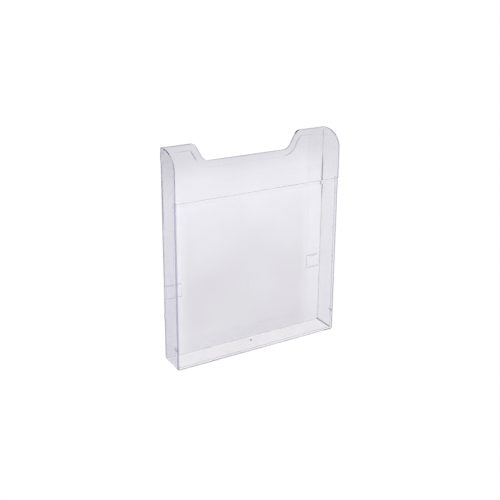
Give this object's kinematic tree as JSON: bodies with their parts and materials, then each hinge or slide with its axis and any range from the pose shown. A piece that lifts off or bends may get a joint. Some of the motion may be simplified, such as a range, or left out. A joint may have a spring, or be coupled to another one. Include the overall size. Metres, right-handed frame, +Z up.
{
  "type": "magazine file holder",
  "caption": "Clear upright pocket for magazines or files: side frame, front cover and back panel bonded together, with rounded side ears, a finger recess in the back and two flush clips.",
  "frame": {"origin": "centre of the footprint, on the surface that the holder stands on", "axes": "+X across the width to the viewer's right, -Y out of the low front wall, +Y out of the flat back, +Z up"},
  "size_m": [0.24, 0.037, 0.284],
  "materials": {
    "clear_body": "gloss",
    "clear_clip": "gloss"
  },
  "bodies": {
    "root": {"side_frame": "clear_body", "front_cover": "clear_body", "back_panel": "clear_body", "window_clip_left": "clear_clip", "window_clip_right": "clear_clip"}
  },
  "joints": []
}
